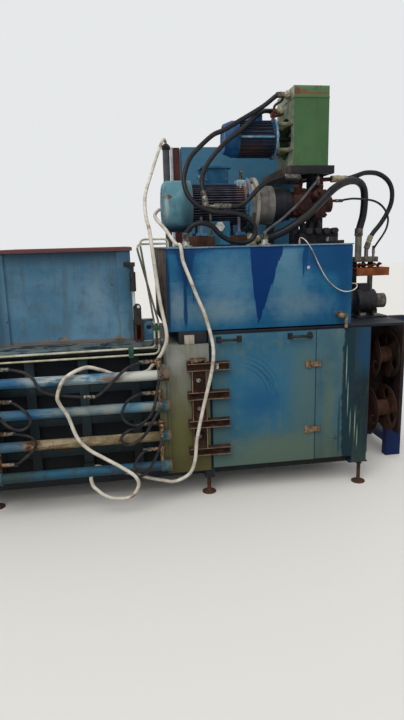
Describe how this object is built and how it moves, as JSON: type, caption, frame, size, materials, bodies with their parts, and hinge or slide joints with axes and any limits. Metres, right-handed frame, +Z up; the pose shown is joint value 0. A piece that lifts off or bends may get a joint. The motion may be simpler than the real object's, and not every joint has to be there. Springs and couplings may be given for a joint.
{
  "type": "recycling baler",
  "caption": "Horizontal channel baling press with feed hopper, hydraulic power pack, oil tank, cooler, hoses, control cabinet and wire reels.",
  "frame": {"origin": "centre of the box round the rigid pieces, on the floor", "axes": "+X along the press from the bale mouth to the wire stand, +Y from the hose side to the control cabinet, +Z up"},
  "size_m": [3.79, 1.5546, 2.55],
  "materials": {
    "press_paint": "dark blue paint, flaked and rusted",
    "base_paint": "dark blue-black paint with dirt",
    "guide_rust": "brown rust",
    "hopper_paint": "faded grey-blue paint with rust at the rim",
    "portal_paint": "dirty grey-green paint",
    "roller_white": "pale worn plastic",
    "cabinet_paint": "blue paint, dusty",
    "door_paint": "faded blue paint, scuffed",
    "black_hardware": "black paint, worn",
    "latch_rust": "rusty zinc-plated steel",
    "tank_paint": "blue gloss paint with oil stains",
    "tank_rim": "pale worn blue paint",
    "support_paint": "pale dirty paint",
    "zinc_fittings": "zinc plate, stained",
    "brass_tap": "dull brass",
    "red_lever": "red dipped coating",
    "motor_paint": "dark blue paint, oily",
    "cowl_paint": "pale blue-green paint",
    "box_paint": "blue paint",
    "rail_rust": "brown rust over primer",
    "ram_steel": "scuffed bare steel",
    "bell_cast": "raw casting, greasy",
    "pump_cast": "red-brown primer and rust",
    "cooler_green": "green paint, rust-streaked",
    "core_alu": "dusty fins",
    "fan_motor_paint": "blue paint",
    "black_plastic": "black moulding",
    "stand_paint": "black-blue paint, rusty edges",
    "valve_black": "black oxide, oily",
    "line_steel": "zinc-plated tube, yellowed",
    "lug_paint": "blue paint",
    "chrome_rod": "hard chrome plate",
    "cylinder_paint": "weathered pale paint over rust",
    "control_paint": "powder coat, matt blue",
    "arm_rust": "red-brown primer, rusty",
    "stand_rust": "rusty dark paint",
    "reel_paint": "dark paint, worn",
    "hose_rubber": "black hose cover, dusty",
    "cable_white": "off-white corrugated sleeve"
  },
  "bodies": {
    "frame": {"channel_shell": "press_paint", "channel_ribs": "press_paint", "base_frame": "base_paint", "levelling_feet": "guide_rust", "top_chords": "press_paint", "hopper": "hopper_paint", "portal_frame": "portal_paint", "guide_rack": "guide_rust", "cabinet_frame": "cabinet_paint", "front_panel": "cabinet_paint", "side_panels": "cabinet_paint", "deck": "base_paint", "anchor_beam": "press_paint", "tank": "tank_paint", "tank_lid": "tank_rim", "tank_supports": "support_paint", "tank_fittings": "zinc_fittings", "drain_tap": "brass_tap", "motor_frame": "motor_paint", "motor_cowl": "cowl_paint", "motor_box": "box_paint", "motor_rails": "rail_rust", "bell_housing": "bell_cast", "pump": "pump_cast", "cooler_shroud": "cooler_green", "cooler_core": "core_alu", "cooler_motor": "fan_motor_paint", "cooler_stand": "stand_paint", "valve_block": "valve_black", "aux_pump": "valve_black", "hard_pipes": "line_steel", "lifting_lug": "lug_paint", "lock_cylinder": "black_hardware", "main_barrel": "cylinder_paint", "side_barrels": "cylinder_paint", "control_cabinet": "control_paint", "cabinet_arms": "arm_rust", "wire_stand": "stand_rust", "cooler_hoses": "hose_rubber", "pump_hoses": "hose_rubber", "return_hoses": "hose_rubber", "long_hose": "hose_rubber", "right_loops": "hose_rubber", "left_loops": "hose_rubber", "white_cables": "cable_white"},
    "ram_body": {"ram": "ram_steel", "main_rod": "chrome_rod"},
    "carriage": {"side_carriage": "ram_steel"},
    "door_body": {"door": "door_paint", "door_hardware": "black_hardware"},
    "upper_latch": {"latch_upper": "latch_rust"},
    "lower_latch": {"latch_lower": "latch_rust"},
    "guide_wheel": {"guide_roller": "roller_white"},
    "tap_lever": {"drain_lever": "red_lever"},
    "rotor": {"motor_rotor": "ram_steel"},
    "fan": {"cooler_fan": "black_plastic"},
    "bolt": {"lock_bolt": "chrome_rod"},
    "cabinet_door": {"control_door": "control_paint"},
    "upper_reel": {"reel_upper": "reel_paint"},
    "lower_reel": {"reel_lower": "reel_paint"}
  },
  "joints": [
    {"name": "ram_stroke", "type": "slide", "parent": "frame", "child": "ram_body", "axis": [-1, 0, 0], "range_m": [0, 0.85]},
    {"name": "carriage_stroke", "type": "slide", "parent": "frame", "child": "carriage", "axis": [-1, 0, 0], "range_m": [0, 0.8]},
    {"name": "door_lift", "type": "slide", "parent": "frame", "child": "door_body", "axis": [0, 0, 1], "range_m": [0, 0.024]},
    {"name": "upper_latch_swing", "type": "hinge", "parent": "door_body", "child": "upper_latch", "pos_m": [1.023, -0.62575, 0.838], "axis": [0, 0, -1], "range_deg": [0, 150]},
    {"name": "lower_latch_swing", "type": "hinge", "parent": "door_body", "child": "lower_latch", "pos_m": [1.023, -0.62575, 0.407], "axis": [0, 0, -1], "range_deg": [0, 150]},
    {"name": "guide_wheel_spin", "type": "hinge", "parent": "frame", "child": "guide_wheel", "pos_m": [0.43, -0.64175, 0.867], "axis": [0, 0, 1], "continuous": true},
    {"name": "tap_lever_turn", "type": "hinge", "parent": "frame", "child": "tap_lever", "pos_m": [1.22, -0.62875, 1.16], "axis": [0, 0, 1], "range_deg": [0, 90]},
    {"name": "rotor_spin", "type": "hinge", "parent": "frame", "child": "rotor", "pos_m": [0.555, -0.19675, 1.83], "axis": [1, 0, 0], "continuous": true},
    {"name": "fan_spin", "type": "hinge", "parent": "frame", "child": "fan", "pos_m": [1.055, -0.08175, 2.26], "axis": [1, 0, 0], "continuous": true},
    {"name": "bolt_lift", "type": "slide", "parent": "frame", "child": "bolt", "axis": [0, 0, 1], "range_m": [0, 0.06]},
    {"name": "cabinet_door_swing", "type": "hinge", "parent": "frame", "child": "cabinet_door", "pos_m": [0.37, 0.71125, 1.693], "axis": [0, 0, 1], "range_deg": [0, 120]},
    {"name": "upper_reel_spin", "type": "hinge", "parent": "frame", "child": "upper_reel", "pos_m": [1.64, -0.31675, 0.805], "axis": [1, 0, 0], "continuous": true},
    {"name": "lower_reel_spin", "type": "hinge", "parent": "frame", "child": "lower_reel", "pos_m": [1.64, -0.31675, 0.417], "axis": [1, 0, 0], "continuous": true}
  ]
}
